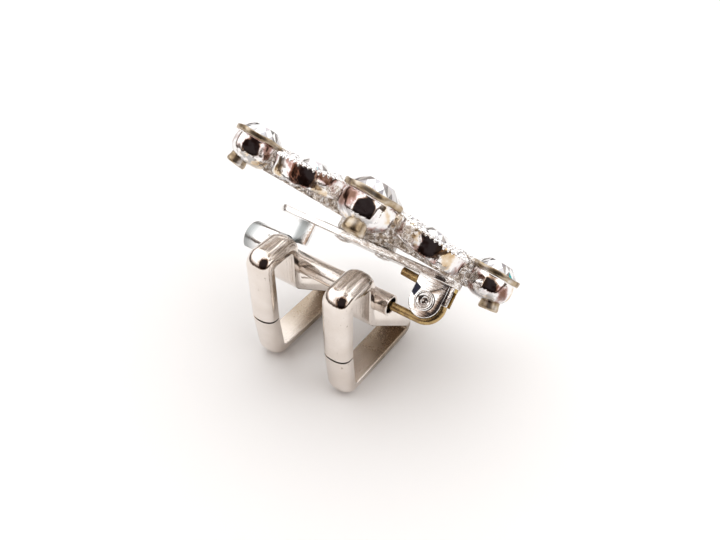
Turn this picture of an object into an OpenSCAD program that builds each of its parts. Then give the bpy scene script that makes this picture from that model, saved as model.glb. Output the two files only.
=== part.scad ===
// Flower brooch on a two-loop cord adapter, in millimetres.
// +Z is up and the camera side is -Y. The origin is on the floor, midway between the two loops.

/* [Cord adapter] */
// Width of the half-round strip that the loops are bent from
strip_w = 3.2; // [2.6:0.1:3.6]
// Thickness of the strip at its two edges
strip_edge = 0.5; // [0.4:0.1:0.6]
// Rise of the dome on the strip's outer face
strip_crown = 1.1; // [0.8:0.1:1.1]
// Distance between the middles of the two loops
loop_pitch = 10; // [8:0.5:11]
// Clear height inside a loop
loop_clear_h = 12; // [11.5:0.5:13]
// Clear depth of the cord slot behind the front bar
slot_depth = 2.9; // [2.6:0.1:3.2]
// Clear depth inside a loop along the floor
base_clear = 10.7; // [10:0.1:11.5]
// Height above the floor at which the riser bends into the sloping shelf
shelf_h = 8.5; // [8:0.1:9]
// Height of the butt joint in the front bar
butt_h = 6.4; // [5:0.1:8]
// Gap in the butt joint
butt_gap = 0.12; // [0.08:0.02:0.2]
// Lean of the short bar below the butt joint, at its foot
foot_lean = 0.45; // [0:0.05:0.6]
// Outer diameter of the tube that joins the loops
tube_d = 2.3; // [2.1:0.1:2.4]
// Bore of the tube
tube_bore = 1.8; // [1.5:0.1:1.8]
// How far the tube stands out past the right loop
tube_stub = 1.2; // [0.8:0.1:1.6]

/* [Brooch pin] */
// Lean of the brooch's face away from the camera
brooch_lean = 47.7; // [30:0.1:60]
// Diameter of the pin wire
wire_d = 0.9; // [0.8:0.05:0.95]
// Radius of the wire's turn round the hinge rivet, to the wire's middle
turn_r = 1.75; // [1.65:0.05:1.85]
// Distance of the hinge rivet to the right of the origin
hinge_x = 11.2; // [11:0.1:12]
// Length of the flat bar on the brooch's back
bar_l = 23; // [22:0.1:24]
// Width of the flat bar
bar_w = 4.5; // [4:0.1:5]
// Thickness of the flat bar
bar_t = 0.8; // [0.6:0.1:1]
// Thickness of the sheet in the hinge ears and the catch
sheet_t = 0.45; // [0.4:0.05:0.5]
// Outer diameter of the rolled catch
catch_d = 3.5; // [3.2:0.1:3.6]
// Length of the rolled catch
catch_l = 4.5; // [4:0.1:4.7]

/* [Flower] */
// Turn of the flower on its bar
flower_turn = 24; // [0:1:45]
// Tilt of the flower along the bar
flower_tilt = 5.6; // [5.2:0.1:6]
// Distance from the flower's middle to each large stone
cup_ring = 14.3; // [14:0.1:14.6]
// Diameter of the large cups
cup_d = 5.7; // [5.5:0.1:5.8]
// Height of the large cups
cup_h = 3.4; // [3:0.1:3.5]
// Distance from the flower's middle to the middle of each petal
petal_ring = 9.6; // [9.4:0.1:9.8]
// Diameter of a round petal
petal_d = 7.7; // [7.5:0.1:7.9]
// Outward slope of each petal
petal_slope = 9; // [6:0.5:12]
// Number of small stones round one petal
petal_count = 10; // [8:1:10]
// Diameter of the stone in the middle of each petal
inner_d = 3.4; // [3:0.1:3.4]
// Diameter of the small stones
small_d = 1.5; // [1.3:0.05:1.55]
// Diameter of the stone in the flower's middle
centre_d = 6; // [5.5:0.1:6]
// Number of small stones round the middle stone
ring_count = 14; // [10:1:14]

/* [Hidden] */
$fn = 48;

nickel = "#d8ccc4";
rhodium = "#e3e2e4";
bronze = "#9a7b58";
crystal = "#dce6f2";

// Loop outline, along the strip's flat inner face, as [y, z] corners
strip_t = strip_edge + strip_crown;
front_y = -5.7;
floor_z = strip_t;
top_z = floor_z + loop_clear_h;
riser_y = front_y + slot_depth;
foot_y = front_y + foot_lean;
heel_y = foot_y + base_clear;
corner_r = 0.3;
valley_r = strip_t + 0.5;
bend_swell = 0.01;
bend_lap = 0.1;
loop_corners = [[front_y, butt_h - butt_gap / 2], [foot_y, floor_z], [heel_y, floor_z],
                [riser_y, shelf_h], [riser_y, top_z], [front_y, top_z], [front_y, butt_h + butt_gap / 2]];
loop_radii = [0, corner_r, 0.25, valley_r, corner_r, corner_r, 0];

// Tube, with the pin wire on its axis
tube_y = riser_y + 2.2;
tube_z = shelf_h + 2;
loop_edge = (loop_pitch + strip_w) / 2;
tube_left = -loop_edge - 0.15;
tube_right = loop_edge + tube_stub;

// Heights above the wire's axis, square to the brooch's back
rivet_z = turn_r + 0.15;
tail_l = 3.9;
tail_rise = 0.3;
bar_z = 2 * turn_r + tail_rise + wire_d / 2 + 0.03;
bar_right = hinge_x + 2.5;
bar_left = bar_right - bar_l;
wire_tip = bar_left - 1.4;

// Hinge
ear_r = 1.75;
ear_neck = 1.5;
ear_foot = 1.8;
fold_foot = 0.3;
fold_top = 0.4;
ear_gap = wire_d + 0.16;
shank_r = 0.6;
fit_gap = 0.05;
head_r = 1.05;
head_t = 0.3;

// Catch
roll_z = 0.4;
roll_left = bar_left - 2.2;
web_left = bar_left + 1.3;
web_l = 2.6;
web_foot = 1.8;
mouth_w = 1.7;

// Flower, measured from the plane of the large cups' rims
flower_pos = [2.1, -1.4, 9.2];
flower_roll = 1.1;
petal_top = -0.4;
petal_base = -2.4;
petal_row_r = petal_d / 2 - 0.15 - small_d / 2;
casting_base = -3.15;
spoke_w = small_d + 0.4;
spoke_top = -0.1;
spoke_first = 6.5;
spoke_step = 1.85;
ring_r = centre_d / 2 + 0.55 + small_d / 2;
disc_r = ring_r + small_d / 2 + 0.5;
disc_top = 0;
link_w = 1.6;
link_l = 3;
link_h = 2.2;
centre_top = 0.4;
claw_r = 0.2;
claw_h = 0.75;
pad_r = 3.4;
pad_h = 1.3;
stud_r = 0.6;
stud_x = [-0.5, 4.7];
stud_y = -0.5;
girdle_drop = 0.1;
seat_gap = 0.04;
girdle_t = 0.06;
crown_rise = 0.2;
pavilion_drop = 0.42;
lower_bore = 0.62;

// Half-round section of the strip, its flat face on the x axis
module strip_section(grow = 0) {
    bulge = 2 / 2.3;
    half = strip_w / 2 + grow;
    polygon(concat([[-half, -grow], [half, -grow]],
        [for (a = [0:15:180]) [sign(cos(a)) * pow(abs(cos(a)), bulge) * half,
                               strip_edge + (strip_crown + grow) * pow(sin(a), bulge)]]));
}

// Heading of a stretch, as a turn about X from straight up
function heading(a, b) = atan2(a.x - b.x, b.y - a.y);
function wrapped(a) = a > 180 ? a - 360 : a <= -180 ? a + 360 : a;
function turn_at(p, i) = wrapped(heading(p[i], p[i + 1]) - heading(p[i - 1], p[i]));
function cut_at(p, r, i) = i == 0 || i == len(p) - 1 ? 0 : r[i] * tan(abs(turn_at(p, i)) / 2);

// One loop, bent from a single strip whose two ends meet in the front bar
module bent_loop() {
    p = loop_corners;
    for (i = [0:len(p) - 2]) {
        dir = (p[i + 1] - p[i]) / norm(p[i + 1] - p[i]);
        from = p[i] + dir * cut_at(p, loop_radii, i);
        run = norm(p[i + 1] - p[i]) - cut_at(p, loop_radii, i) - cut_at(p, loop_radii, i + 1);
        lap_in = i == 0 ? 0 : bend_lap;
        lap_out = i == len(p) - 2 ? 0 : bend_lap;
        translate([0, from.x, from.y]) rotate([heading(p[i], p[i + 1]), 0, 0]) translate([0, 0, -lap_in])
            linear_extrude(run + lap_in + lap_out) strip_section();
        if (i < len(p) - 2) {
            angle = turn_at(p, i + 1);
            r = loop_radii[i + 1];
            end = from + dir * run;
            translate([0, end.x, end.y]) rotate([heading(p[i], p[i + 1]), 0, 0])
                if (angle > 0)
                    translate([0, -r, 0]) rotate([90, 0, 90])
                        rotate_extrude(angle = angle) translate([r, 0]) rotate(-90) strip_section(bend_swell);
                else
                    translate([0, r, 0]) rotate([90, 0, -90])
                        rotate_extrude(angle = -angle) translate([r, 0]) rotate(90) strip_section(bend_swell);
        }
    }
}

// Both loops and the tube, soldered into one piece
module adapter() {
    color(nickel) difference() {
        union() {
            for (side = [-1, 1]) translate([side * loop_pitch / 2, 0, 0]) bent_loop();
            translate([tube_left, tube_y, tube_z]) rotate([0, 90, 0])
                cylinder(d = tube_d, h = tube_right - tube_left);
        }
        translate([tube_left - 1, tube_y, tube_z]) rotate([0, 90, 0])
            cylinder(d = tube_bore, h = tube_right - tube_left + 2);
    }
}

// Puts a piece on the brooch's back: x along the pin wire, z out through the flower
module on_pin() {
    translate([0, tube_y, tube_z]) rotate([-brooch_lean, 0, 0]) children();
}

// Round rod along x
module rod(x, r, l, z = 0) {
    translate([x, 0, z]) rotate([0, 90, 0]) cylinder(r = r, h = l);
}

// Disc or hole whose axis is the hinge rivet
module on_rivet(r, t) {
    translate([hinge_x, t / 2, rivet_z]) rotate([90, 0, 0]) cylinder(r = r, h = t);
}

// Pin wire: straight stem with a point, a half turn round the rivet and a short tail under the bar
module pin_stem() {
    tip_l = 2.2;
    eye_r = 1.65;
    color(bronze) on_pin() difference() {
        union() {
            rod(wire_tip + tip_l, wire_d / 2, hinge_x - wire_tip - tip_l);
            translate([wire_tip, 0, 0]) rotate([0, 90, 0]) cylinder(r1 = 0.12, r2 = wire_d / 2, h = tip_l);
            translate([hinge_x, 0, turn_r]) rotate([90, 0, 0])
                rotate_extrude(angle = 180, start = -90) translate([turn_r, 0]) circle(d = wire_d);
            translate([hinge_x, 0, 2 * turn_r]) rotate([0, -90 + asin(tail_rise / tail_l), 0])
                cylinder(d = wire_d, h = tail_l);
            on_rivet(eye_r, wire_d * 0.7);
        }
        on_rivet(shank_r + fit_gap, 3);
    }
}

// Hollow rivet, spread over the outside of both ears
module hinge_rivet() {
    outside = ear_gap + 2 * sheet_t;
    color(nickel) on_pin() difference() {
        union() {
            on_rivet(shank_r, outside + 0.2);
            for (side = [-1, 1]) translate([0, side * (outside + head_t + 0.02) / 2, 0]) on_rivet(head_r, head_t);
        }
        on_rivet(0.32, 6);
        for (side = [-1, 1]) translate([0, side * (outside / 2 + head_t), 0]) on_rivet(0.6, 0.3);
    }
}

// One ear of the hinge bracket
module ear() {
    top = bar_z - rivet_z + 0.1;
    translate([hinge_x, sheet_t / 2, rivet_z]) rotate([90, 0, 0]) linear_extrude(sheet_t) union() {
        circle(r = ear_r);
        polygon([[-ear_r, 0], [-ear_neck, 0.9], [-ear_neck, 1.6], [-ear_foot, top], [ear_foot, top], [ear_r, 0]]);
    }
}

// Fold that joins the ears at the bar's end, slotted for the wire's turn
module ear_fold() {
    outer_r = ear_gap / 2 + sheet_t;
    fold_x = hinge_x + 1.45;
    difference() {
        translate([fold_x, 0, rivet_z + fold_foot]) cylinder(r = outer_r, h = bar_z - rivet_z - fold_foot + 0.1);
        translate([fold_x, 0, rivet_z]) cylinder(r = ear_gap / 2, h = bar_z - rivet_z);
        translate([fold_x - 2, -outer_r - 1, rivet_z]) cube([2, 2 * outer_r + 2, bar_z]);
        translate([fold_x - 1, -ear_gap / 2, rivet_z]) cube([2 + outer_r, ear_gap, bar_z - rivet_z - fold_top]);
    }
}

// Rolled catch, open towards the wire's way out, and the web that carries it
module catch_roll() {
    r = catch_d / 2;
    difference() {
        union() {
            rod(roll_left, r, catch_l, roll_z);
            translate([web_left, r - sheet_t, roll_z])
                cube([roll_left + catch_l - web_left, sheet_t, bar_z - roll_z + 0.1]);
            translate([web_left, r - sheet_t, web_foot]) cube([web_l, sheet_t, bar_z - web_foot + 0.1]);
        }
        rod(roll_left - 1, r - sheet_t, catch_l + 2, roll_z);
        translate([roll_left - 1, -mouth_w / 2, roll_z - r - 1]) cube([catch_l + 2, mouth_w, r + 1]);
    }
}

// Flat bar with its ears and catch, folded from one sheet and held on by two studs
module pin_bar() {
    end_r = bar_w / 2;
    color(rhodium) on_pin() difference() {
        union() {
            translate([bar_left + end_r, -end_r, bar_z]) cube([bar_l - bar_w, bar_w, bar_t]);
            for (x = [bar_left + end_r, bar_right - end_r]) translate([x, 0, bar_z]) cylinder(d = bar_w, h = bar_t);
            for (side = [-1, 1]) translate([0, side * (ear_gap + sheet_t) / 2, 0]) ear();
            ear_fold();
            catch_roll();
        }
        on_rivet(shank_r + 0.02, 6);
        for (x = stud_x) translate([x, stud_y, bar_z - 1]) cylinder(r = stud_r + fit_gap, h = bar_t + 2);
    }
}

// Puts a piece in the flower: z is the flower's face, z = 0 the rims of the large cups
module on_flower() {
    on_pin() translate(flower_pos) rotate([flower_roll, flower_tilt, 0]) rotate(flower_turn) children();
}

// Places of the stones, as [x, y]
function polar(r, a) = [r * cos(a), r * sin(a)];
function cup_place(i) = polar(cup_ring, 90 * i);
ring_places = [for (i = [0:ring_count - 1]) polar(ring_r, 360 * i / ring_count)];
spoke_places = [for (i = [0:3], k = [0:2]) polar(spoke_first + k * spoke_step, 90 * i)];
petal_places = [for (k = [0:petal_count - 1]) polar(petal_row_r, 360 * k / petal_count)];

// Cut stone with an eight-sided table, its girdle's top at z = 0
module cut_stone(d, rise = crown_rise) {
    r = d / 2;
    table = [for (i = [0:7]) [0.55 * r * cos(45 * i), 0.55 * r * sin(45 * i), rise * d]];
    upper = [for (j = [0:15]) [r * cos(22.5 * j), r * sin(22.5 * j), 0]];
    lower = [for (p = upper) [p.x, p.y, -girdle_t * d]];
    culet = [[0, 0, -(girdle_t + pavilion_drop) * d]];
    polyhedron(concat(table, upper, lower, culet), concat(
        [[for (i = [7:-1:0]) i]],
        [for (i = [0:7]) [i, 8 + 2 * i, 8 + (2 * i + 15) % 16]],
        [for (i = [0:7]) [i, 9 + 2 * i, 8 + 2 * i]],
        [for (i = [0:7]) [i, (i + 1) % 8, 9 + 2 * i]],
        [for (j = [0:15]) [8 + j, 8 + (j + 1) % 16, 24 + (j + 1) % 16, 24 + j]],
        [for (j = [0:15]) [24 + j, 24 + (j + 1) % 16, 40]]));
}

// Hole for a stone: wide down to where the stone's underside rests, narrow below
module seat(d, depth) {
    rest = (girdle_t + (1 - lower_bore) * pavilion_drop) * d + 0.05;
    translate([0, 0, -rest]) cylinder(r = d / 2 + seat_gap, h = rest + 1);
    translate([0, 0, -depth]) cylinder(r = lower_bore * d / 2, h = depth);
}

// Large cup between two petals, a round lobed bowl under an overhanging brim, with a small round foot
module cup_body() {
    r = cup_d / 2;
    bowl_r = r - 0.25;
    brim = 0.35;
    difference() {
        rotate_extrude() polygon([[0, -cup_h], [0.5 * bowl_r, -cup_h], [0.75 * bowl_r, 0.25 - cup_h],
            [0.93 * bowl_r, 0.75 - cup_h], [bowl_r, 1.5 - cup_h], [bowl_r, -brim - 0.5], [r, -brim], [r, 0], [0, 0]]);
        for (a = [30:60:359]) rotate(a) translate([bowl_r + 0.15, 0, -cup_h - 1])
            cylinder(r = 0.36, h = cup_h - brim, $fn = 24);
    }
    translate([1.1, 0, -cup_h - 0.65]) rotate([0, -8, 0]) cylinder(r = 1.1, h = 0.75);
}

// Puts a piece on petal i: x points out of the flower, and the petal slopes down that way
module on_petal(i) {
    rotate(45 + 90 * i) translate([petal_ring, 0, 0]) rotate([0, petal_slope, 0]) children();
}

// Claw between two small stones
module claw(r, top) {
    translate([r, 0, top - 0.4]) cylinder(r = claw_r, h = claw_h, $fn = 16);
}

// Round petal with a smooth wall, a claw between each two of its small stones
module petal() {
    r = petal_d / 2;
    rotate_extrude() polygon([[0, petal_base], [r - 0.3, petal_base], [r, petal_base + 0.3],
        [r, petal_top - 0.15], [r - 0.15, petal_top], [0, petal_top]]);
    for (k = [0:petal_count - 1]) rotate(360 * (k + 0.5) / petal_count) claw(petal_row_r + 0.48, petal_top);
}

// Seats in a petal
module petal_seats() {
    translate([0, 0, petal_top - girdle_drop]) seat(inner_d, 1.75);
    for (p = petal_places) translate([p.x, p.y, petal_top - girdle_drop]) seat(small_d, 1);
}

// A cup and a petal for one quarter of the flower
module quarter_casting() {
    translate([cup_ring, 0, 0]) cup_body();
    on_petal(0) petal();
    rotate(45) translate([disc_r - 1, -link_w / 2, casting_base + 0.1]) cube([link_l, link_w, link_h]);
}

// The flower's casting, with a seat for every stone
module seated_casting() {
    arm = cup_ring - 2;
    difference() {
        union() {
            for (i = [0:3]) rotate(90 * i) quarter_casting();
            for (i = [0:1]) rotate(90 * i) translate([-arm, -spoke_w / 2, casting_base + 0.05])
                cube([2 * arm, spoke_w, spoke_top - casting_base - 0.05]);
            translate([0, 0, casting_base]) cylinder(r = disc_r, h = disc_top - casting_base);
            translate([0, 0, -1]) cylinder(r = centre_d / 2 + 0.45, h = centre_top + 1);
            for (i = [0:ring_count - 1]) rotate(360 * (i + 0.5) / ring_count) claw(ring_r + 0.6, disc_top);
        }
        for (i = [0:3]) translate([cup_place(i).x, cup_place(i).y, -girdle_drop]) seat(cup_d - 0.8, 2.6);
        for (i = [0:3]) on_petal(i) petal_seats();
        for (p = spoke_places) translate([p.x, p.y, spoke_top - girdle_drop]) seat(small_d, 1.2);
        for (p = ring_places) translate([p.x, p.y, disc_top - girdle_drop]) seat(small_d, 1.2);
        translate([0, 0, centre_top - girdle_drop]) seat(centre_d, 3);
    }
}

// Cast metal of the flower: cups, petals, spokes and middle, with the pad and studs of the pin
module setting() {
    color(rhodium) union() {
        on_flower() seated_casting();
        on_pin() {
            translate([flower_pos.x, stud_y, bar_z + bar_t + 0.02]) cylinder(r = pad_r, h = pad_h);
            for (x = stud_x) translate([x, stud_y, bar_z - 0.3]) {
                cylinder(r = stud_r, h = bar_t + 0.8);
                cylinder(r = 1, h = 0.28);
            }
        }
    }
}

// Stones
module placed_stone(p, top, d) {
    translate([p.x, p.y, top - girdle_drop]) cut_stone(d);
}

module large_stone(i) {
    color(crystal) on_flower() translate([cup_place(i).x, cup_place(i).y, -girdle_drop]) cut_stone(cup_d - 0.8, 0.26);
}

module stones(places, top, d) {
    color(crystal) on_flower() for (p = places) placed_stone(p, top, d);
}

module petal_stones() {
    color(crystal) on_flower() for (i = [0:3]) on_petal(i) for (p = petal_places) placed_stone(p, petal_top, small_d);
}

module inner_stones() {
    color(crystal) on_flower() for (i = [0:3]) on_petal(i) placed_stone([0, 0], petal_top, inner_d);
}

adapter();
pin_stem();
hinge_rivet();
pin_bar();
setting();
large_stone(0);  // stone_right
large_stone(1);  // stone_far
large_stone(2);  // stone_left
large_stone(3);  // stone_near
stones([[0, 0]], centre_top, centre_d);  // stone_centre
inner_stones();
stones(ring_places, disc_top, small_d);  // ring_stones
stones(spoke_places, spoke_top, small_d);  // spoke_stones
petal_stones();
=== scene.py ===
import math

import bmesh
import bpy
from mathutils import Matrix, Vector


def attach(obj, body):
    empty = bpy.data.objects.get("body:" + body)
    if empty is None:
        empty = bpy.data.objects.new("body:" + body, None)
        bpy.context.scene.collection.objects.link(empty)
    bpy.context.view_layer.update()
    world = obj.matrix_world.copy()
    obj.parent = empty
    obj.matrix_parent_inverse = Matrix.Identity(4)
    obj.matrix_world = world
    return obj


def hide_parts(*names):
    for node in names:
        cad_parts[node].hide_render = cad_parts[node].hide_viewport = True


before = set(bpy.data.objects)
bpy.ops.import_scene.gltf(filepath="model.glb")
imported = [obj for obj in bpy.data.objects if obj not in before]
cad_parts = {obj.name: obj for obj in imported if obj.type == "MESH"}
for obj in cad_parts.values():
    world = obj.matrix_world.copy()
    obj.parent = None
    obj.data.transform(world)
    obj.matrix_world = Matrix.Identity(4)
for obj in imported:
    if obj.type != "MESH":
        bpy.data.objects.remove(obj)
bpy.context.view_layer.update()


# The cord adapter: two loops bent from half-round brass strip, each strip's ends meeting in the front
# bar, with a tube soldered across behind the risers. Its nickel plating is streaked on top, bright at the
# front bends and brass-brown along the back of the foot. One section is swept along the bent outline, and
# the tube is turned.
mm = 0.001


class Number:
    """A number that varies in a node tree. Plain arithmetic on it adds the Math nodes."""

    def __init__(self, nodes, socket):
        self.nodes = nodes
        self.socket = socket

    def maths(self, operation, first, second=0.0):
        made = self.nodes.add("ShaderNodeMath", {"operation": operation}, {0: first, 1: second})
        return Number(self.nodes, made.outputs[0])

    def __add__(self, other):
        return self.maths("ADD", self, other)

    def __sub__(self, other):
        return self.maths("SUBTRACT", self, other)

    def __rsub__(self, other):
        return self.maths("SUBTRACT", other, self)

    def __mul__(self, other):
        return self.maths("MULTIPLY", self, other)

    __radd__ = __add__
    __rmul__ = __mul__

    def rise(self, low, high):
        """Nothing below low and one above high, with a soft step between."""
        sockets = {"Value": self, "From Min": low, "From Max": high}
        made = self.nodes.add("ShaderNodeMapRange", {"interpolation_type": "SMOOTHSTEP"}, sockets)
        return Number(self.nodes, made.outputs[0])


class Nodes:
    """A node tree, and the one method that adds a node: its settings first, then its sockets."""

    def __init__(self, tree):
        self.tree = tree

    def add(self, kind, settings=None, sockets=None):
        made = self.tree.nodes.new(kind)
        for name, setting in (settings or {}).items():
            if name == "stops":
                self.set_stops(made.color_ramp, setting)
            else:
                setattr(made, name, setting)
        for name, given in (sockets or {}).items():
            given = getattr(given, "socket", given)
            if isinstance(given, bpy.types.NodeSocket):
                self.tree.links.new(given, made.inputs[name])
            else:
                made.inputs[name].default_value = given
        return made

    def set_stops(self, ramp, stops):
        while len(ramp.elements) < len(stops):
            ramp.elements.new(1.0)
        for element, (place, colour) in zip(ramp.elements, stops):
            element.position = place
            element.color = (*colour, 1.0)


class Finish(Nodes):
    """A material. Even numbers go on the shader's own sockets, and varying ones are linked to it."""

    def __init__(self, name, **even):
        self.material = bpy.data.materials.new(name)
        self.material.use_nodes = True
        super().__init__(self.material.node_tree)
        self.tree.nodes.clear()
        even = {socket.replace("_", " "): value for socket, value in even.items()}
        self.shader = self.add("ShaderNodeBsdfPrincipled", sockets=even)
        self.add("ShaderNodeOutputMaterial", sockets={"Surface": self.shader.outputs[0]})
        self.place = self.add("ShaderNodeTexCoord").outputs["Object"]

    def vary(self, socket, given):
        self.tree.links.new(getattr(given, "socket", given), self.shader.inputs[socket])

    def stretched(self, scale, turn=(0.0, 0.0, 0.0)):
        """The piece's own coordinates, drawn out along the axes whose scale is small."""
        mapping = {"Vector": self.place, "Scale": scale, "Rotation": turn}
        return self.add("ShaderNodeMapping", sockets=mapping).outputs[0]

    def noise(self, size, detail=3.0, place=None):
        """Cloudy variation, from 0 to 1, with blotches of this size in millimetres."""
        sockets = {"Vector": place or self.place, "Scale": 1.0 / (size * mm), "Detail": detail}
        return Number(self, self.add("ShaderNodeTexNoise", sockets=sockets).outputs[0])

    def ramp(self, factor, stops):
        return self.add("ShaderNodeValToRGB", {"stops": stops}, {"Fac": factor}).outputs[0]

    def across(self, axis):
        """Distance along one axis of the piece, in millimetres."""
        split = self.add("ShaderNodeSeparateXYZ", sockets={"Vector": self.place})
        return Number(self, split.outputs[axis]) * (1.0 / mm)

    def blend(self, factor, first, second):
        """The first colour where the factor is nothing, and the second where it is one."""
        sockets = {0: factor, 6: first, 7: second}
        return self.add("ShaderNodeMix", {"data_type": "RGBA"}, sockets).outputs[2]

    def bump(self, height, depth):
        sockets = {"Height": height, "Distance": depth * mm}
        self.vary("Normal", self.add("ShaderNodeBump", sockets=sockets).outputs[0])


class Shape(Nodes):
    """A Geometry Nodes tree with named inputs, run on one object and turned into a plain mesh."""

    kinds = {float: "NodeSocketFloat", int: "NodeSocketInt", bpy.types.Object: "NodeSocketObject",
             bpy.types.Material: "NodeSocketMaterial"}

    def __init__(self, name, **inputs):
        super().__init__(bpy.data.node_groups.new(name, "GeometryNodeTree"))
        sockets = self.tree.interface
        sockets.new_socket("Start", in_out="INPUT", socket_type="NodeSocketGeometry")
        for label, kind in inputs.items():
            sockets.new_socket(label, in_out="INPUT", socket_type=self.kinds[kind])
        sockets.new_socket("Made", in_out="OUTPUT", socket_type="NodeSocketGeometry")
        self.given = self.add("NodeGroupInput").outputs

    def shape_of(self, label):
        """The geometry of the object that is given under this name."""
        info = self.add("GeometryNodeObjectInfo", sockets={"Object": self.given[label]})
        return info.outputs["Geometry"]

    def curve(self, mesh):
        return self.add("GeometryNodeMeshToCurve", sockets={"Mesh": mesh}).outputs[0]

    def copies(self, points, shape, **sockets):
        """One copy of the shape on every point, with its own turn or size if they are given."""
        sockets = {"Points": points, "Instance": shape, **sockets}
        return self.add("GeometryNodeInstanceOnPoints", sockets=sockets).outputs[0]

    def end(self, geometry):
        """Realize Instances and Set Material, with the tree's own material input."""
        real = self.add("GeometryNodeRealizeInstances", sockets={"Geometry": geometry}).outputs[0]
        sockets = {"Geometry": real, "Material": self.given["finish"]}
        coated = self.add("GeometryNodeSetMaterial", sockets=sockets).outputs[0]
        self.add("NodeGroupOutput", sockets={"Made": coated})
        return self

    def run(self, start, **values):
        """The plain mesh that the tree makes from this object."""
        modifier = start.modifiers.new("shape", "NODES")
        modifier.node_group = self.tree
        for item in self.tree.interface.items_tree:
            if item.in_out == "INPUT" and item.name in values:
                modifier[item.identifier] = values[item.name]
        seen = start.evaluated_get(bpy.context.evaluated_depsgraph_get())
        mesh = bpy.data.meshes.new_from_object(seen)
        start.modifiers.remove(modifier)
        bpy.data.objects.remove(start)
        return mesh


def shown(name, data):
    """A new object in the scene."""
    made = bpy.data.objects.new(name, data)
    bpy.context.scene.collection.objects.link(made)
    return made


def polyline(name, points, closed=False, **numbers):
    """An object whose mesh is a row of points joined by edges, with named numbers on them."""
    mesh = bpy.data.meshes.new(name)
    edges = [(i, i + 1) for i in range(len(points) - 1)]
    if closed:
        edges.append((len(points) - 1, 0))
    mesh.from_pydata([(x, y, 0.0) for x, y in points], edges, [])
    for label, values in numbers.items():
        mesh.attributes.new(label, "FLOAT", "POINT").data.foreach_set("value", values)
    return shown(name, mesh)


def smoothed(mesh, angle=40.0):
    """Smooth shading, with the edges sharper than this kept crisp."""
    mesh.shade_smooth()
    mesh.set_sharp_from_angle(angle=math.radians(angle))
    return mesh


def outward(mesh):
    """The same closed mesh with doubles merged and every face pointing out."""
    built = bmesh.new()
    built.from_mesh(mesh)
    bmesh.ops.remove_doubles(built, verts=built.verts, dist=1e-4)
    bmesh.ops.recalc_face_normals(built, faces=built.faces)
    built.to_mesh(mesh)
    built.free()
    return mesh


def turned(name, outline, finish, steps=64, closed=False, wave=None):
    """A mesh turned about z from an outline of (radius, height) points; wave may change the radius."""
    built = bmesh.new()
    rings = []
    for radius, height in outline:
        angles = [2 * math.pi * k / steps for k in range(steps)] if radius > 0 else [0.0]
        ring = []
        for a in angles:
            r = wave(radius, height, a) if wave else radius
            ring.append(built.verts.new((r * math.cos(a), r * math.sin(a), height)))
        rings.append(ring)
    pairs = list(zip(rings, rings[1:]))
    if closed:
        pairs.append((rings[-1], rings[0]))
    for low, high in pairs:
        for k in range(steps):
            n = (k + 1) % steps
            corners = [low[k % len(low)], low[n % len(low)], high[n % len(high)], high[k % len(high)]]
            built.faces.new(list(dict.fromkeys(corners)))
    mesh = bpy.data.meshes.new(name)
    built.to_mesh(mesh)
    built.free()
    mesh.materials.append(finish.material)
    return smoothed(outward(mesh))


def at(x, y=0.0, z=0.0):
    """A shift, in millimetres."""
    return Matrix.Translation((x, y, z))


def spun(angle, axis="Z"):
    """A turn about one axis, in degrees."""
    return Matrix.Rotation(math.radians(angle), 4, axis)


def joined(name, parts, place=Matrix()):
    """One piece in metres from (mesh, matrix) parts in millimetres, each with its own finish."""
    built = bmesh.new()
    finishes = []
    for mesh, matrix in parts:
        copy = mesh.copy()
        copy.transform(Matrix.Scale(mm, 4) @ place @ matrix)
        first = len(built.faces)
        built.from_mesh(copy)
        built.faces.ensure_lookup_table()
        for face in built.faces[first:]:
            finish = copy.materials[face.material_index]
            if finish not in finishes:
                finishes.append(finish)
            face.material_index = finishes.index(finish)
    made = bpy.data.meshes.new(name)
    built.to_mesh(made)
    built.free()
    for finish in finishes:
        made.materials.append(finish)
    return shown(name, made)


nickel = Finish("nickel_plate", Metallic=1.0)
cloud = nickel.noise(2.2)
drawn = nickel.noise(0.24, 3.0, nickel.stretched((1.0, 0.03, 0.03))).rise(0.5, 0.62)
scratched = nickel.noise(0.2, 4.0, nickel.stretched((1.0, 1.0, 0.12), (0.7, 0.0, 0.0)))
on_top = nickel.across("Z").rise(12.2, 14.0)
bright_bend = (1.0 - nickel.across("Y").rise(-5.9, -4.9)) * nickel.across("Z").rise(12.0, 13.0)
# Brass-brown along the back half of the foot strip, towards the heel, and a little rougher there.
foot_brown = nickel.across("Y").rise(-5.5, 0.5) * (1.0 - nickel.across("Z").rise(1.7, 2.4))
pits = nickel.noise(0.45, 2.0).rise(0.7, 0.76)
streaks = drawn * on_top * (1.0 - bright_bend)
plated = nickel.ramp(cloud, [(0.3, (0.74, 0.67, 0.61)), (0.7, (0.84, 0.78, 0.73))])
bare_brass = (0.28, 0.21, 0.14, 1.0)
nickel.vary("Base Color", nickel.blend(0.85 * foot_brown + 0.7 * pits + 0.5 * streaks, plated, bare_brass))
satin = 0.1 + 0.08 * cloud + 0.06 * scratched + 0.1 * foot_brown
nickel.vary("Roughness", satin * (1.0 - 0.7 * bright_bend))
nickel.bump(streaks + 0.05 * drawn + 0.25 * scratched, 0.06)

strip_w = 3.2
strip_edge = 0.5
strip_crown = 1.1
strip_t = strip_edge + strip_crown
clear_h = 12.0
front_y = -5.7
foot_y = front_y + 0.45
heel_y = foot_y + 10.7
riser_y = front_y + 2.9
shelf_z = 8.5
top_z = strip_t + clear_h
butt_z = 6.4
butt_gap = 0.12
loop_x = 5.0
loop_corners = [(front_y, butt_z - butt_gap / 2), (foot_y, strip_t), (heel_y, strip_t),
                (riser_y, shelf_z), (riser_y, top_z), (front_y, top_z), (front_y, butt_z + butt_gap / 2)]
loop_bends = [0.0, 0.3, 0.25, strip_t + 0.5, 0.3, 0.3, 0.0]


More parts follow.
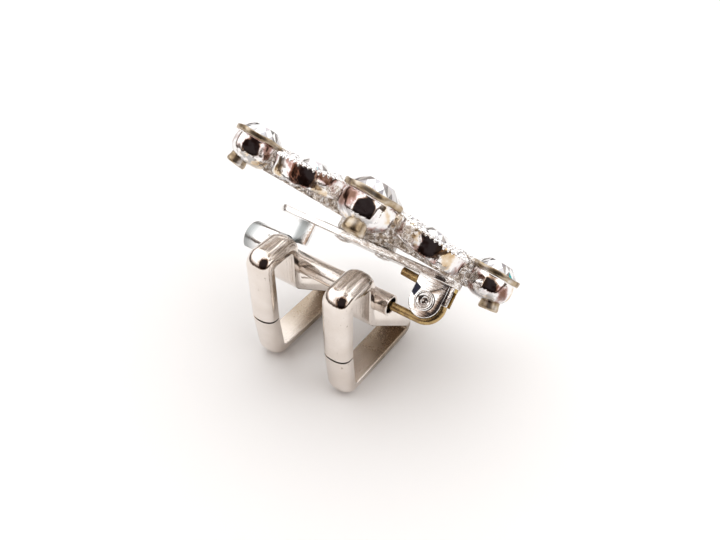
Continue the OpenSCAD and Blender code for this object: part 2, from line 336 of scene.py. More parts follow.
def half_round(width, edge, crown, steps=24):
    """The strip's section: a flat inner face, short sides and a domed outer face."""
    corner = 0.1
    fullness = 0.87
    half = width / 2
    dome = []
    for k in range(steps + 1):
        a = math.pi * k / steps
        across = math.copysign(abs(math.cos(a)) ** fullness, math.cos(a))
        dome.append((across * half, edge + crown * math.sin(a) ** fullness))
    foot = [(-half, corner), (corner - half, 0.0), (half - corner, 0.0), (half, corner)]
    return dome + foot


def sweep(name, filleted):
    """The tree that draws a section along a path, with each corner rounded to its own bend if wanted."""
    tree = Shape(name, section=bpy.types.Object, finish=bpy.types.Material)
    path = tree.curve(tree.given["Start"])
    if filleted:
        attribute = tree.add("GeometryNodeInputNamedAttribute", {"data_type": "FLOAT"}, {"Name": "bend"})
        sockets = {"Curve": path, "Count": 14, "Radius": attribute.outputs[0]}
        path = tree.add("GeometryNodeFilletCurve", {"mode": "POLY"}, sockets).outputs[0]
    path = tree.add("GeometryNodeSetCurveNormal", {"mode": "Z_UP"}, {"Curve": path}).outputs[0]
    sockets = {"Curve": path, "Profile Curve": tree.curve(tree.shape_of("section")), "Fill Caps": True}
    return tree.end(tree.add("GeometryNodeCurveToMesh", sockets=sockets).outputs[0])


strip_points = [(height, side) for side, height in half_round(strip_w, strip_edge, strip_crown)]
section = polyline("strip_section", strip_points, True)
outline = polyline("loop_outline", loop_corners, bend=loop_bends)
loop = sweep("bent_strip", True).run(outline, section=section, finish=nickel.material)
smoothed(outward(loop))
bpy.data.objects.remove(section)

tube_y = riser_y + 2.2
tube_z = shelf_z + 2.0
tube_r = 1.15
bore_r = 0.9
tube_left = -6.75
tube_right = 7.8
lip = 0.06
tube_line = [(bore_r, tube_left + lip), (bore_r + lip, tube_left), (tube_r - lip, tube_left),
             (tube_r, tube_left + lip), (tube_r, tube_right - lip), (tube_r - lip, tube_right),
             (bore_r + lip, tube_right), (bore_r, tube_right - lip)]
tube = turned("tube", tube_line, nickel, 48, closed=True)
upright = Matrix(((0, 0, 1, 0), (1, 0, 0, 0), (0, 1, 0, 0), (0, 0, 0, 1)))
adapter_parts = [(loop, at(side * loop_x) @ upright) for side in (-1, 1)]
adapter_parts.append((tube, at(0, tube_y, tube_z) @ spun(90, "Y")))
adapter = joined("cord_adapter", adapter_parts)
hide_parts("adapter")
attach(adapter, "adapter")


# The pin wire: sprung brass wire, yellow with darker patches of wear, pointed at the catch end and bent
# round the hinge rivet into a short tail. Its solid is already true, so it only gets its finish.
wire = Finish("worn_brass_wire", Metallic=1.0)
wear = wire.noise(0.8, 5.0)
wire.vary("Base Color", wire.ramp(wear, [(0.3, (0.26, 0.17, 0.09)), (0.7, (0.62, 0.45, 0.2))]))
wire.vary("Roughness", 0.16 + 0.2 * wear)
wire.bump(wire.noise(0.12, 5.0), 0.01)
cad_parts["pin_stem"].material_slots[0].material = wire.material


# The brooch's pin fittings: a flat bar with two hinge ears and a rolled catch, folded from bright plated
# sheet brass. Painted shade darkens the catch's left end and its web, the bar is grainy towards the hinge,
# and brass shows between the ears. Each part is cut as a plate, and its edges are broken by a small bevel.
pin_tilt = 47.7
on_pin = at(0, tube_y, tube_z) @ spun(-pin_tilt, "X")
rivet_z = 1.9
hinge_x = 11.2
ear_face_z = 12.5
bar_z = 4.28
bar_t = 0.8
bar_w = 4.5
bar_back = 23.0
bar_right = 13.7
bar_left = bar_right - bar_back
sheet_t = 0.45
ear_gap = 1.06
ear_r = 1.75
ear_half = 1.8
catch_length = 4.5
stud_x = [-0.5, 4.7]
stud_y = -0.5
bright_tones = [(0.3, (0.84, 0.82, 0.81)), (0.7, (0.93, 0.92, 0.91))]

painted_shade_sheet = Finish("bloomed_sheet", Metallic=1.0)
along = painted_shade_sheet.across("X")
# Painted shade: the catch's left end and the web under the flower are darkened, and made rougher too.
catch_painted_shade = (1.0 - along.rise(-11.3, -9.4)) + along.rise(-8.0, -6.9) * (1.0 - along.rise(-6.5, -5.6))
clear = painted_shade_sheet.ramp(painted_shade_sheet.noise(1.2), [(0.3, (0.80, 0.80, 0.80)), (0.7, (0.93, 0.93, 0.93))])
painted_shade_sheet.vary("Base Color", painted_shade_sheet.blend(0.8 * catch_painted_shade, clear, (0.22, 0.24, 0.24, 1.0)))
painted_shade_sheet.vary("Roughness", 0.08 + 0.22 * catch_painted_shade)
painted_shade_sheet.bump(painted_shade_sheet.noise(0.7, 4.0), 0.03)

sheared = Finish("sheared_sheet", Metallic=1.0)
grain = sheared.noise(0.3, 5.0, sheared.stretched((0.4, 1.0, 1.0)))
rough_part = sheared.across("X").rise(-1.5, 0.5)
clean = sheared.ramp(sheared.noise(1.6), bright_tones)
grainy = sheared.ramp(grain, [
    (0.36, (0.5, 0.42, 0.36)), (0.5, (0.84, 0.8, 0.77)), (0.6, (0.94, 0.93, 0.92))])
sheared.vary("Base Color", sheared.blend(0.85 * rough_part, clean, grainy))
sheared.vary("Roughness", 0.06 + 0.16 * rough_part)
rolled = sheared.noise(0.16, 3.0, sheared.stretched((0.03, 1.0, 1.0)))
sheared.bump(rolled + 2.0 * grain * rough_part, 0.03)

# On the ears, distances are taken across the slot between them and over the face of the front one. The
# slot is brass, and a painted dark reflection with three straight sides blackens the left of that face.
folded = Finish("folded_sheet", Metallic=1.0)
lean_y = math.cos(math.radians(pin_tilt))
lean_z = math.sin(math.radians(pin_tilt))
from_middle = lean_y * (folded.across("Y") - tube_y) - lean_z * (folded.across("Z") - tube_z)
in_slot = from_middle.rise(-0.56, -0.5) * (1.0 - from_middle.rise(0.5, 0.56))
ear_x = folded.across("X") - hinge_x
ear_up = (folded.across("Z") - ear_face_z) * (1.0 / lean_y)
# A painted reflection: near black over the left of the front ear's face, inside three straight sides.
reflection_left_side = 1.0 - (ear_x - 0.31 * ear_up).rise(-1.3, -1.24)
reflection_lower_side = 1.0 - (ear_up + 0.44 * ear_x).rise(0.7, 0.76)
painted_reflection = reflection_left_side * reflection_lower_side * (ear_up + 0.69 * ear_x).rise(-0.87, -0.8)
scored = folded.noise(0.14, 3.0, folded.stretched((0.05, 1.0, 1.0)))
sheet = folded.ramp(scored, [
    (0.35, (0.6, 0.55, 0.52)), (0.5, (0.9, 0.89, 0.88)), (0.7, (0.94, 0.93, 0.92))])
sheet = folded.blend(painted_reflection, sheet, (0.02, 0.02, 0.03, 1.0))
folded.vary("Base Color", folded.blend(in_slot, sheet, (0.5, 0.36, 0.13, 1.0)))
folded.vary("Roughness", 0.06 + 0.1 * scored)
folded.bump(scored, 0.02)


def arc(x, y, radius, start, end, steps=24):
    """Points on a circular arc, between two angles in degrees."""
    angles = [math.radians(start + (end - start) * k / steps) for k in range(steps + 1)]
    return [(x + radius * math.cos(a), y + radius * math.sin(a)) for a in angles]


def plate(name, rim, thickness, finish, holes=(), edge=0.05):
    """A plate cut to a rim, standing on z = 0, with round holes as (x, y, radius) and bevelled edges."""
    built = bmesh.new()
    for loop in [rim] + [arc(x, y, radius, 0, 345, 23) for x, y, radius in holes]:
        corners = [built.verts.new((x, y, 0.0)) for x, y in loop]
        for k in range(len(corners)):
            built.edges.new((corners[k - 1], corners[k]))
    bmesh.ops.triangle_fill(built, use_beauty=True, use_dissolve=True, edges=built.edges)
    made = bmesh.ops.extrude_face_region(built, geom=built.faces[:])["geom"]
    raised = [part for part in made if isinstance(part, bmesh.types.BMVert)]
    bmesh.ops.translate(built, vec=(0, 0, thickness), verts=raised)
    bmesh.ops.recalc_face_normals(built, faces=built.faces)
    creased = [e for e in built.edges if len(e.link_faces) == 2 and e.calc_face_angle() > math.radians(60)]
    rims = [e for e in creased if abs(e.verts[0].co.z - e.verts[1].co.z) < 1e-6]
    bmesh.ops.bevel(built, geom=rims, offset=edge, segments=3, profile=0.5, affect="EDGES")
    mesh = bpy.data.meshes.new(name)
    built.to_mesh(mesh)
    built.free()
    mesh.materials.append(finish.material)
    return smoothed(mesh, 30)


end_r = bar_w / 2
stud_hole = 0.65
bar_rim = arc(bar_right - end_r, 0, end_r, -90, 90) + arc(bar_left + end_r, 0, end_r, 90, 270)
bar = plate("bar", bar_rim, bar_t, sheared, [(x, stud_y, stud_hole) for x in stud_x], 0.14)

ear_top = bar_z - rivet_z + 0.1
ear_hole = 0.62
ear_rim = arc(0, 0, ear_r, 175, 365)
ear_rim += [(ear_half, 1.0), (ear_half, ear_top), (-ear_half, ear_top)]
ear_rim += [(-1.72, 1.9), (-1.7, 1.2), (-1.72, 0.6)]
ear = plate("ear", ear_rim, sheet_t, folded, [(0, 0, ear_hole)], 0.1)
ear_stand = at(hinge_x, 0, rivet_z) @ spun(90, "X")

fold_x = hinge_x + 1.45
fold_inner = ear_gap / 2
fold_r = fold_inner + sheet_t
fold_rim = arc(fold_x, 0, fold_r, -70, 70, 16) + arc(fold_x, 0, fold_inner, 70, -70, 16)
bridge_h = 0.5
bridge_drop = 0.4
fold_bridge = plate("fold_bridge", fold_rim, bridge_h, folded, edge=0.06)
cheek_base = 0.3
cheek_rim = arc(fold_x, 0, fold_r, 33, 80, 8) + arc(fold_x, 0, fold_inner, 80, 60, 4)
fold_cheek = plate("fold_cheek", cheek_rim, bar_z - rivet_z - cheek_base, folded, edge=0.05)
far_cheek = fold_cheek.copy()
far_cheek.transform(Matrix.Scale(-1, 4, (0, 1, 0)))
outward(far_cheek)

roll_r = 1.75
roll_z = 0.4
roll_left = bar_left - 2.2
roll_inner = roll_r - sheet_t
mouth_half = 0.85
mouth = math.degrees(math.asin(mouth_half / roll_r))
mouth_inner = math.degrees(math.asin(mouth_half / roll_inner))
roll_rim = (arc(0, 0, roll_r, mouth - 90, 270 - mouth, 48)
            + arc(0, 0, roll_inner, 270 - mouth_inner, mouth_inner - 90, 48))
catch = plate("catch_roll", roll_rim, catch_length, painted_shade_sheet, edge=0.07)
web_top = bar_z + 0.1
web_rim = [(-8.0, web_top), (-8.0, roll_z), (-7.0, roll_z), (-7.0, 1.6), (-6.6, 1.75), (-5.7, 1.8),
           (-5.45, 1.95), (-5.4, 2.3), (-5.4, web_top)]
web = plate("catch_web", web_rim, sheet_t, painted_shade_sheet, edge=0.06)

fittings = joined("pin_fittings", [
    (bar, at(0, 0, bar_z)),
    (ear, at(0, -ear_gap / 2) @ ear_stand),
    (ear, at(0, ear_gap / 2 + sheet_t) @ ear_stand),
    (fold_bridge, at(0, 0, bar_z - bridge_drop)),
    (fold_cheek, at(0, 0, rivet_z + cheek_base)),
    (far_cheek, at(0, 0, rivet_z + cheek_base)),
    (catch, at(roll_left, 0, roll_z) @ upright),
    (web, at(0, roll_r) @ spun(90, "X"))], on_pin)
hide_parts("pin_bar")
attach(fittings, "brooch")


# The hinge rivet: a hollow brass rivet, plated like the flower's beads and claws, and spread into a
# rolled, dished lip over each ear. It is turned from one outline, the same at both ends.
rhodium = Finish("rhodium_plate", Metallic=1.0)
ripple = rhodium.noise(1.6)
rhodium.vary("Base Color", rhodium.ramp(ripple, bright_tones))
rhodium.vary("Roughness", 0.05 + 0.09 * ripple)
brushed = rhodium.noise(0.16, 3.0, rhodium.stretched((0.03, 1.0, 1.0)))
rhodium.bump(rhodium.noise(0.9, 4.0) + 0.5 * brushed, 0.03)

lip_line = [(0, 0.56), (0.08, 0.6), (0.2, 0.74), (0.3, 0.94), (0.4, 1.04), (0.54, 1.08), (0.66, 1.13),
            (0.74, 1.23), (0.84, 1.29), (0.94, 1.28), (1.02, 1.21), (1.05, 1.12), (1.04, 1.0), (0.6, 0.99)]
rivet_line = lip_line + [(radius, -height) for radius, height in reversed(lip_line)]
rivet = turned("rivet", rivet_line, rhodium, 48)
rivet = joined("hinge_rivet_eyelet", [(rivet, ear_stand)], on_pin)
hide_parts("hinge_rivet")
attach(rivet, "brooch")


# The flower's casting, all one piece of bright plated zinc: four lobed cups on the ends of the cross, four
# sloping round petals with beaded edges between them, and the round middle. Its back and sides are left
# rough. Each form is turned or swept and set round the middle, and a pad and two studs hold it to the bar.
cast = Finish("rough_casting", Metallic=1.0)
lumps = cast.noise(0.45, 6.0)
cast_tones = [(0.36, (0.3, 0.23, 0.17)), (0.5, (0.72, 0.65, 0.58)), (0.6, (0.92, 0.9, 0.89))]
cast.vary("Base Color", cast.ramp(lumps, cast_tones))
cast.vary("Roughness", 0.08 + 0.3 * lumps)
cast.bump(lumps, 0.3)

flower_x = 2.1
flower_y = -1.4
flower_z = 9.2
on_flower = on_pin @ at(flower_x, flower_y, flower_z) @ spun(5.6, "Y") @ spun(1.1, "X") @ spun(24)
quarters = [spun(90 * i) for i in range(4)]
eighth = spun(45)
petal_ring = 9.6
petal_slope = 9
petals = [quarter @ eighth @ at(petal_ring) @ spun(petal_slope, "Y") for quarter in quarters]
petal_r = 3.85
petal_row = 2.95
petal_stones = 10
petal_top = -0.4
casting_base = -3.15
cup_ring = 14.3
cup_r = 2.85
cup_h = 3.4
disc_r = 5.55
disc_row = 4.3
disc_stones = 14
spoke_end = 12.3
spoke_top = -0.1
spoke_stone_x = (6.5, 8.35, 10.2)
small_d = 1.5
centre_d = 6.0
centre_top = 0.4


def cup_wave(radius, height, a):
    """Six flat lobes with creases between them in the bowl, and a slightly uneven brim above it."""
    bowl_z = -0.6
    brim_edge = 2.7
    ripple = 0.05
    if height > bowl_z:
        return radius - (ripple * math.cos(7 * a + 1.0) + ripple if radius > brim_edge else 0.0)
    half_lobe = math.pi / 6
    across = a % (2 * half_lobe) - half_lobe
    flat = 0.5 * (1.0 - math.cos(half_lobe) / math.cos(across))
    crease = 0.2 * max(0.0, abs(across) / half_lobe - 0.7)
    return radius * (1.0 - (flat + crease) * min(1.0, (bowl_z - height) / 0.8))


# The browns are painted shade, standing in for the shaded undersides of the brims and the feet below the
# cups, and their mottling is wear.
worn_and_shaded_edge = Finish("worn_brim", Metallic=1.0)
rubbed_and_shaded = worn_and_shaded_edge.noise(0.9, 5.0)
worn_and_shaded_edge.vary("Base Color", worn_and_shaded_edge.ramp(rubbed_and_shaded, [
    (0.3, (0.2, 0.14, 0.09)), (0.45, (0.44, 0.34, 0.22)), (0.6, (0.58, 0.5, 0.4)),
    (0.75, (0.8, 0.77, 0.75))]))
worn_and_shaded_edge.vary("Roughness", 0.22 + 0.2 * rubbed_and_shaded)
worn_and_shaded_edge.bump(rubbed_and_shaded, 0.04)

hammered = Finish("hammered_plate", Metallic=1.0)
stain = hammered.noise(2.4, 4.0)
dents = hammered.noise(2.0, 0.4)
front = on_flower.to_3x3() @ Vector((0, 0, 1))
depth = front.x * hammered.across("X") + front.y * hammered.across("Y") + front.z * hammered.across("Z")
depth = depth - front.dot(on_flower.to_translation())
crumpled = 1.0 - depth.rise(-2.7, -1.9)
creases = hammered.noise(0.7, 3.0)
stained = hammered.ramp(stain, [
    (0.36, (0.2, 0.11, 0.08)), (0.42, (0.42, 0.27, 0.24)), (0.46, (0.76, 0.7, 0.69)),
    (0.5, (0.9, 0.89, 0.89)), (0.56, (0.9, 0.88, 0.86)), (0.61, (0.76, 0.63, 0.47)),
    (0.68, (0.58, 0.42, 0.25))])
# Painted shade: grey in the creases of the lower, crumpled part of each bowl.
painted_crease_shade = 0.75 * crumpled * creases.rise(0.46, 0.58)
hammered.vary("Base Color", hammered.blend(painted_crease_shade, stained, (0.36, 0.35, 0.35, 1.0)))
hammered.vary("Roughness", 0.04 + 0.08 * dents)
hammered.bump(dents + 0.05 * hammered.noise(0.5) + 0.4 * creases * crumpled, 0.35)

brim_line = [(2.3, -0.55), (2.45, -0.5), (2.55, -0.02), (2.6, 0.03), (2.78, 0.03), (2.84, 0.0),
             (2.87, -0.07), (2.85, -0.45), (2.8, -0.51), (2.6, -0.55)]
brim = turned("cup_brim", brim_line, worn_and_shaded_edge, 72, closed=True, wave=cup_wave)
brim_dip = 0.04
for corner in brim.vertices:
    corner.co.z -= brim_dip * (1.0 + math.sin(5 * math.atan2(corner.co.y, corner.co.x)))
cup_line = [(0, -2.6), (1.5, -2.6), (1.52, -0.95), (2.35, -0.8), (2.38, -0.45), (2.58, -0.5),
            (2.66, -0.58), (2.5, -0.64), (2.46, -0.72), (2.5, -0.85), (2.6, -1.05), (2.67, -1.3),
            (2.69, -1.6), (2.68, -1.95), (2.56, -2.32), (2.3, -2.68), (1.9, -3.0), (1.4, -3.24),
            (0.8, -3.37), (0, -cup_h)]
cup = turned("cup", cup_line, hammered, 96, wave=cup_wave)
foot_line = [(0, -0.5), (0.7, -0.5), (0.78, -0.62), (0.98, -0.62), (1.08, -0.52), (1.1, -0.3),
             (1.02, 0.1), (1.0, 1.2), (0, 1.2)]
foot = turned("cup_foot", foot_line, worn_and_shaded_edge, 32)
foot_out = 1.1
foot_lean = -8
foot_at = at(cup_ring + foot_out, 0, -cup_h) @ spun(foot_lean, "Y")

petal_line = [(0, -1.75), (1.05, -1.75), (1.07, -0.6), (1.72, -0.35), (1.75, -0.03), (1.82, 0),
              (petal_r - 0.2, 0), (petal_r - 0.06, -0.06), (petal_r, -0.2), (petal_r - 0.05, -0.9),
              (petal_r, -1.6), (petal_r - 0.12, -1.88), (petal_r - 0.4, -2.0), (0, -2.0)]
petal = turned("petal", petal_line, hammered, 64)
face_line = [(1.78, -0.1), (1.8, 0.0), (1.84, 0.02), (petal_r - 0.22, 0.02), (petal_r - 0.2, -0.1)]
petal_face = turned("petal_face", face_line, rhodium, 64, closed=True)

middle_line = [(0, -2.65), (1.9, -2.65), (1.92, -0.4), (3.0, -0.2), (3.04, 0.36), (3.12, 0.42),
               (3.36, 0.42), (3.45, 0.34), (3.48, 0.08), (3.56, 0.0), (disc_r - 0.17, 0.0),
               (disc_r - 0.05, -0.05), (disc_r, -0.2), (disc_r, casting_base + 0.2),
               (disc_r - 0.1, casting_base), (0, casting_base)]
middle = turned("middle", middle_line, cast, 72)

spoke_half = small_d / 2 + 0.2
round_r = 0.2
spoke_rim = arc(spoke_half - round_r, spoke_top - round_r, round_r, 0, 90, 5)
spoke_rim += arc(round_r - spoke_half, spoke_top - round_r, round_r, 90, 180, 5)
spoke_rim += [(-spoke_half, casting_base + 0.05), (spoke_half, casting_base + 0.05)]
section = polyline("spoke_section", [(x, -y) for x, y in spoke_rim], True)
spoke_path = polyline("spoke_path", [(-spoke_end, 0), (spoke_end, 0)])
spoke = sweep("swept_spoke", False).run(spoke_path, section=section, finish=cast.material)
smoothed(outward(spoke))
bpy.data.objects.remove(section)

link_h = 2.2
link = plate("link", [(4.5, -0.8), (7.5, -0.8), (7.5, 0.8), (4.5, 0.8)], link_h, cast, edge=0.2)

bead_row = Shape("bead_row", bead=bpy.types.Object, pitch=float, finish=bpy.types.Material)
sockets = {"Curve": bead_row.curve(bead_row.given["Start"]), "Length": bead_row.given["pitch"]}
path = bead_row.add("GeometryNodeResampleCurve", {"mode": "LENGTH"}, sockets).outputs[0]
sockets = {"Min": 0.85, "Max": 1.1, "Seed": 4}
drift = bead_row.add("FunctionNodeRandomValue", {"data_type": "FLOAT"}, sockets)
bead_row.end(bead_row.copies(path, bead_row.shape_of("bead"), Scale=drift.outputs["Value"]))


def beads(name, radius):
    """A ring of small beads, each a little larger or smaller than the next."""
    path = polyline(name, arc(0, 0, radius, 0, 354, 59), True)
    return smoothed(bead_row.run(path, bead=bead, pitch=bead_pitch, finish=rhodium.material))


bead_line = [(0, 0.2), (0.12, 0.17), (0.2, 0.06), (0.22, -0.06), (0.16, -0.24), (0, -0.3)]
bead = shown("bead", turned("bead", bead_line, rhodium, 8))
bead_pitch = 0.5
bead_sink = -0.08
petal_beads = beads("petal_beads", petal_r - 0.16)
disc_beads = beads("disc_beads", disc_r - 0.2)
bpy.data.objects.remove(bead)

claw_line = [(0, 0.2), (0.1, 0.18), (0.17, 0.1), (0.2, -0.06), (0.2, -0.4), (0, -0.4)]
claw = turned("claw", claw_line, rhodium, 12)
claw_up = 0.06
petal_claws = (-0.6, 0.48)
spoke_claw_x = (5.9, 7.42, 9.27, 11.1)
spoke_claw_y = 0.5
disc_claw_row = disc_row + 0.6
centre_claws = 8
centre_claw_row = 3.12
casting = [(middle, Matrix()), (disc_beads, at(0, 0, bead_sink)), (spoke, quarters[0]),
           (spoke, quarters[1] @ at(0, 0, 0.01))]
for i, quarter in enumerate(quarters):
    cup_seat = quarter @ at(cup_ring)
    casting += [(cup, cup_seat @ spun(30 * (i % 2))), (brim, cup_seat), (foot, quarter @ foot_at),
                (link, quarter @ eighth @ at(0, 0, casting_base + 0.1))]
    face = petals[i] @ at(0, 0, petal_top)
    casting += [(petal, face), (petal_face, face), (petal_beads, face @ at(0, 0, bead_sink))]
    for k in range(petal_stones):
        between = spun(360 * (k + 0.5) / petal_stones)
        for beside in petal_claws:
            casting.append((claw, face @ between @ at(petal_row + beside, 0, claw_up)))
    for x in spoke_claw_x:
        for y in (-spoke_claw_y, spoke_claw_y):
            casting.append((claw, quarter @ at(x, y, spoke_top + claw_up)))
for k in range(disc_stones):
    casting.append((claw, spun(360 * (k + 0.5) / disc_stones) @ at(disc_claw_row, 0, claw_up)))
for k in range(centre_claws):
    casting.append((claw, spun(360 * k / centre_claws) @ at(centre_claw_row, 0, centre_top + 0.1)))

flat = on_flower.inverted() @ on_pin
pad = turned("pad", [(0, 0), (3.2, 0), (3.35, 0.08), (3.4, 0.25), (3.4, 1.3), (0, 1.3)], cast, 64)
stud_line = [(0, -0.02), (0.35, -0.02), (0.5, 0.03), (0.58, 0.12), (0.6, 0.3), (0.6, 1.1), (0, 1.1)]
stud = turned("stud", stud_line, rhodium, 32)
head_line = [(0, -0.3), (0.5, -0.27), (0.85, -0.2), (0.97, -0.12), (1.0, -0.03), (0, -0.03)]
stud_head = turned("stud_head", head_line, rhodium, 32)
pad_gap = 0.02
stud_out = 0.3
casting.append((pad, flat @ at(flower_x, stud_y, bar_z + bar_t + pad_gap)))
for x in stud_x:
    casting += [(stud, flat @ at(x, stud_y, bar_z - stud_out)), (stud_head, flat @ at(x, stud_y, bar_z))]
setting = joined("flower_casting", casting, on_flower)
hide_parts("setting")
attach(setting, "brooch")


# The stones: brilliant-cut glass, foiled behind and thinly coated. Each facet's grey is a painted
# reflection, and the single facet that flashes blue-green is a painted glint of the coating. One cut stone
# is set in every seat, held by the claws or the brim, each turned its own way, and every facet and stone
# keeps its own painted reflection tone.
crystal = Finish("rainbow_glass", Metallic=0.75)
facet = Number(crystal, crystal.add("ShaderNodeAttribute", {"attribute_name": "facet"}).outputs["Fac"])
tint = Number(crystal, crystal.add("ShaderNodeAttribute", {"attribute_name": "tint"}).outputs["Fac"])
reflection_tone = facet * (0.8 + 0.2 * tint)
crystal.vary("Base Color", crystal.ramp(reflection_tone, [
    (0.0, (0.95, 0.95, 0.95)), (0.27, (0.7, 0.7, 0.7)), (0.33, (0.44, 0.42, 0.43)),
    (0.5, (0.6, 0.58, 0.59)), (0.62, (0.26, 0.25, 0.27)), (0.72, (0.62, 0.58, 0.6)),
    (0.94, (0.52, 0.52, 0.55)), (0.965, (0.03, 0.75, 0.8))]))
crystal.vary("Roughness", 0.02 + 0.05 * crystal.noise(0.5))


def brilliant(rise, sides):
    """A brilliant one across: table, star, kite and girdle facets above, and plain facets below."""
    built = bmesh.new()

    def ring(radius, height, count, start=0.0):
        angles = [math.radians(start + 360 * k / count) for k in range(count)]
        return [built.verts.new((radius * math.cos(a), radius * math.sin(a), height)) for a in angles]

    table_r = 0.275
    star_r = 0.385
    star_share = 0.58
    girdle_r = 0.5
    girdle_t = 0.06
    culet_z = -0.48
    around = 2 * sides
    table = ring(table_r, rise, sides)
    star = ring(star_r, star_share * rise, sides, 180 / sides)
    upper = ring(girdle_r, 0.0, around)
    lower = ring(girdle_r, -girdle_t, around)
    culet = built.verts.new((0, 0, culet_z))
    built.faces.new(table)
    for k in range(sides):
        n = (k + 1) % sides
        built.faces.new((table[n], table[k], star[k]))
        built.faces.new((table[k], star[k - 1], upper[2 * k], star[k]))
        built.faces.new((star[k], upper[2 * k], upper[2 * k + 1]))
        built.faces.new((star[k], upper[2 * k + 1], upper[(2 * k + 2) % around]))
    for k in range(around):
        n = (k + 1) % around
        built.faces.new((upper[k], lower[k], lower[n], upper[n]))
        built.faces.new((lower[k], culet, lower[n]))
    mesh = bpy.data.meshes.new("brilliant")
    built.to_mesh(mesh)
    built.free()
    outward(mesh)
    # Each face gets its own painted reflection tone. Kites, with four corners, stay near the pale end.
    scatter = 0.618
    kite_share = 0.3
    reflection_tones = []
    for face in mesh.polygons:
        share = kite_share if len(face.vertices) == 4 else 1.0
        reflection_tones.append(math.modf(scatter * (face.index + 1))[0] * share)
    mesh.attributes.new("facet", "FLOAT", "FACE").data.foreach_set("value", reflection_tones)
    return shown("brilliant", mesh)


stone_set = Shape("stone_set", stone=bpy.types.Object, size=float, seed=int, finish=bpy.types.Material)
most_turn = 62.8
sockets = {"Min": 0.0, "Max": most_turn, "Seed": stone_set.given["seed"]}
turn = stone_set.add("FunctionNodeRandomValue", {"data_type": "FLOAT"}, sockets).outputs["Value"]
turn = stone_set.add("ShaderNodeCombineXYZ", sockets={"Z": turn}).outputs[0]
lean = stone_set.add("GeometryNodeInputNamedAttribute", {"data_type": "FLOAT_VECTOR"}, {"Name": "lean"})
lean = stone_set.add("FunctionNodeEulerToRotation", sockets={"Euler": lean.outputs[0]}).outputs[0]
sockets = {"Rotation": lean, "Rotate By": turn}
turn = stone_set.add("FunctionNodeRotateRotation", {"rotation_space": "LOCAL"}, sockets).outputs[0]
laid = stone_set.copies(stone_set.given["Start"], stone_set.shape_of("stone"), Rotation=turn,
                        Scale=stone_set.given["size"])
drift = stone_set.add("FunctionNodeRandomValue", {"data_type": "FLOAT"}, {"Seed": stone_set.given["seed"]})
settings = {"data_type": "FLOAT", "domain": "INSTANCE"}
sockets = {"Geometry": laid, "Name": "tint", "Value": drift.outputs["Value"]}
stone_set.end(stone_set.add("GeometryNodeStoreNamedAttribute", settings, sockets).outputs[0])


def set_stones(node, places, size, stone, seed):
    """Stones in these seats, given as matrices in the flower, in place of the plain ones of this node."""
    mesh = bpy.data.meshes.new(node + "_seats")
    mesh.from_pydata([place.to_translation() for place in places], [], [])
    leans = [angle for place in places for angle in place.to_euler()]
    mesh.attributes.new("lean", "FLOAT_VECTOR", "POINT").data.foreach_set("vector", leans)
    seats = shown(node + "_seats", mesh)
    made = stone_set.run(seats, stone=stone, size=size, seed=seed, finish=crystal.material)
    stones = joined(node + "_cut", [(made, Matrix())], on_flower)
    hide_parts(node)
    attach(stones, "brooch")


girdle = -0.1
brim_lap = 0.4
cup_stone_d = 2 * (cup_r - brim_lap)
inner_d = 3.4
tall = brilliant(rise=0.21, sides=14)
# The seeds, counted from 45, set where the painted blue-green glint falls: on the right-hand stone.
for seed, (side, quarter) in enumerate(zip(("right", "far", "left", "near"), quarters), 45):
    set_stones("stone_" + side, [quarter @ at(cup_ring, 0, girdle)], cup_stone_d, tall, seed)
low = brilliant(rise=0.2, sides=8)
set_stones("stone_centre", [at(0, 0, centre_top + girdle)], centre_d, low, seed=7)
petal_seats = [petal @ at(0, 0, petal_top + girdle) for petal in petals]
set_stones("inner_stones", petal_seats, inner_d, low, seed=8)
ring_seats = [spun(360 * k / disc_stones) @ at(disc_row, 0, girdle) for k in range(disc_stones)]
set_stones("ring_stones", ring_seats, small_d, low, seed=9)
spoke_seats = [quarter @ at(x, 0, spoke_top + girdle) for quarter in quarters for x in spoke_stone_x]
set_stones("spoke_stones", spoke_seats, small_d, low, seed=10)
row = [spun(360 * k / petal_stones) @ at(petal_row) for k in range(petal_stones)]
row_seats = [seat @ place for seat in petal_seats for place in row]
set_stones("petal_stones", row_seats, small_d, low, seed=11)
for stone in (tall, low):
    bpy.data.objects.remove(stone)


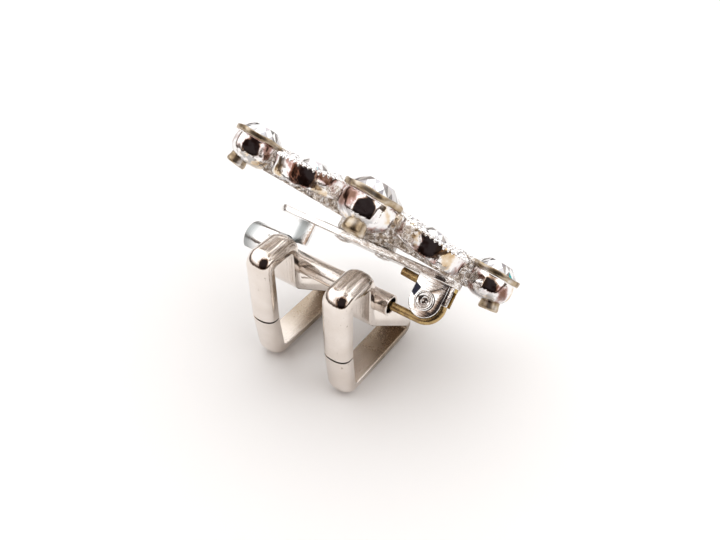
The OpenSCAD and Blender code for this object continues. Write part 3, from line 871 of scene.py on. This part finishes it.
# The floor, lights and camera of the photograph: white paper, a broad white light overhead and behind, and
# a dark room towards the camera, which the bright metal shows as black.
paper = Finish("white_paper", Roughness=0.9, Base_Color=(0.98, 0.97, 0.965, 1.0))
floor_mesh = bpy.data.meshes.new("floor")
span = 0.6
floor_corners = [(-span, -span, 0), (span, -span, 0), (span, span, 0), (-span, span, 0)]
floor_mesh.from_pydata(floor_corners, [], [(0, 1, 2, 3)])
floor_mesh.materials.append(paper.material)
floor = shown("floor", floor_mesh)

world = bpy.data.worlds.new("studio")
bpy.context.scene.world = world
bpy.context.scene.view_settings.view_transform = "Standard"
world.use_nodes = True
room = Nodes(world.node_tree)
room.tree.nodes.clear()
sky = room.add("ShaderNodeTexCoord").outputs["Generated"]
height = room.add("ShaderNodeSeparateXYZ", sockets={"Vector": sky}).outputs["Z"]
walls = room.add("ShaderNodeValToRGB", {"stops": [
    (0.0, (0.8, 0.78, 0.76)), (0.04, (0.12, 0.09, 0.07)), (0.16, (0.03, 0.022, 0.02)),
    (0.3, (0.35, 0.3, 0.27)), (0.42, (1.0, 0.99, 0.98)), (1.0, (1.0, 1.0, 1.0))]},
    {"Fac": height}).outputs[0]
toward = Vector((0.3, -0.72, 0.62)).normalized()
facing = room.add("ShaderNodeVectorMath", {"operation": "DOT_PRODUCT"}, {0: sky, 1: toward})
dark = room.add("ShaderNodeValToRGB", {"stops": [
    (0.0, (1.0, 1.0, 1.0)), (0.745, (1.0, 1.0, 1.0)), (0.8, (0.4, 0.27, 0.19)),
    (0.86, (0.02, 0.015, 0.015))]}, {"Fac": facing.outputs["Value"]}).outputs[0]
settings = {"data_type": "RGBA", "blend_type": "MULTIPLY"}
seen = room.add("ShaderNodeMix", settings, {0: 1.0, 6: walls, 7: dark}).outputs[2]
brightness = 1.66
glow = room.add("ShaderNodeBackground", sockets={"Color": seen, "Strength": brightness}).outputs[0]
room.add("ShaderNodeOutputWorld", sockets={"Surface": glow})

camera = shown("camera", bpy.data.cameras.new("camera"))
camera.data.lens = 35.0
camera.data.sensor_width = 36.0
camera.data.clip_start = 0.005
eye = Vector((35.1, -45.2, 61.4)) * mm
azimuth = math.radians(35.08)
elevation = math.radians(41.38)
level = math.cos(elevation)
look = Vector((-math.sin(azimuth) * level, math.cos(azimuth) * level, -math.sin(elevation)))
aim = look.to_track_quat("-Z", "Y").to_matrix().to_4x4() @ spun(0.24)
camera.matrix_world = Matrix.Translation(eye) @ aim
bpy.context.scene.camera = camera
